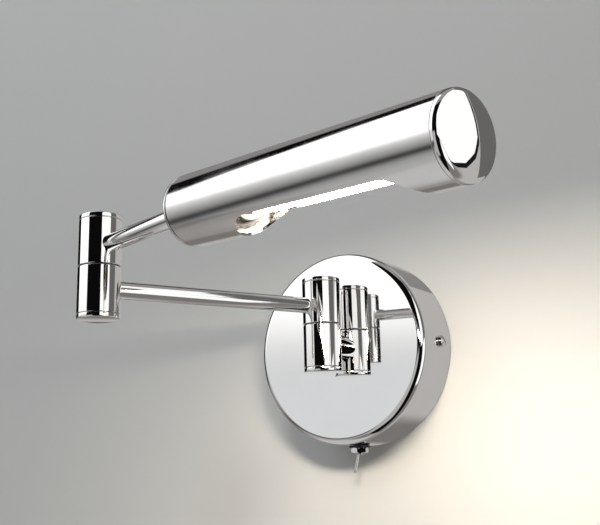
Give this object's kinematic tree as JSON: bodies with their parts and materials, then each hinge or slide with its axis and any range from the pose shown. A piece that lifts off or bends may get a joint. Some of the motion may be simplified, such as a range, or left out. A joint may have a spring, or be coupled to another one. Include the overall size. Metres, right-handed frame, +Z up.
{
  "type": "swing arm wall sconce",
  "caption": "Polished wall light with a round canopy, swing arms on friction knuckles and a tubular head with a light slot below that rolls on its own axis.",
  "frame": {"origin": "centre of the canopy on the wall plane, midway between the two wall screw slots", "axes": "+Y into the wall, +X to the right for somebody who faces the wall, +Z up"},
  "size_m": [0.2173, 0.2124, 0.1178],
  "materials": {
    "chrome": "polished",
    "nickel": "polished nickel",
    "zinc": "zinc plated",
    "steel": "satin",
    "brass": "turned",
    "grommet": "matt",
    "block": "moulded",
    "black": "moulded",
    "switch": "moulded",
    "white": "baked enamel",
    "shell": "rolled thread",
    "insulator": "vitrified",
    "glass": "frosted",
    "tungsten": "drawn"
  },
  "bodies": {
    "base": {"wall_bracket": "zinc", "cable_grommet": "grommet", "earth_screw": "brass", "earth_washer": "zinc", "terminal_block": "block", "terminal_barrels": "brass", "terminal_screws": "steel", "terminal_fixing_screw": "steel", "canopy_shell": "chrome", "canopy_screws": "chrome", "stem_nipple": "brass", "stem_nut": "zinc", "stem_lock_washer": "zinc", "stem_spacer": "chrome", "base_knuckle_lower": "chrome", "base_knuckle_bottom_cap": "chrome", "base_spindle": "steel", "base_spindle_nut": "steel", "base_spring_washer": "steel", "base_thrust_washer": "black", "switch_body": "switch", "switch_terminals": "steel", "switch_bushing": "nickel", "switch_inner_nut": "steel", "switch_washer": "black", "switch_outer_nut": "nickel"},
    "lever": {"switch_lever": "nickel"},
    "arm_1": {"base_knuckle_upper": "chrome", "base_knuckle_top_cap": "chrome", "arm_1_tube": "chrome", "elbow_lower": "chrome", "elbow_bottom_cap": "chrome", "elbow_spindle": "steel", "elbow_spindle_nut": "steel", "elbow_spring_washer": "steel", "elbow_thrust_washer": "black"},
    "arm_2": {"elbow_upper": "chrome", "elbow_top_cap": "chrome", "arm_2_tube": "chrome", "head_spigot": "brass", "spigot_spring_washer": "steel", "spigot_nut": "steel"},
    "head": {"head_back_cap": "chrome", "head_tube": "chrome", "head_front_cap": "chrome", "reflector": "white", "lamp_holder": "black", "lamp_holder_ring": "black", "lamp_holder_contact": "brass", "lamp_shell": "shell", "lamp_tip_contact": "insulator", "lamp_glass": "glass", "lamp_filament": "tungsten"}
  },
  "joints": [
    {"name": "base_swing", "type": "hinge", "parent": "base", "child": "arm_1", "pos_m": [0, -0.0449, 0.0098], "axis": [0, 0, 1], "range_deg": [-64.2, 115.8]},
    {"name": "elbow_swing", "type": "hinge", "parent": "arm_1", "child": "arm_2", "pos_m": [-0.05092, -0.15024, 0.0294], "axis": [0, 0, 1], "range_deg": [-237.5, 32.5]},
    {"name": "head_roll", "type": "hinge", "parent": "arm_2", "child": "head", "pos_m": [0.02012, -0.16703, 0.0392], "axis": [0.971, -0.2295, -0.0663], "range_deg": [-105.6, 74.4]},
    {"name": "switch_toggle", "type": "hinge", "parent": "base", "child": "lever", "pos_m": [0, -0.012, -0.051], "axis": [0, 1, 0], "range_deg": [-30, 0]}
  ]
}
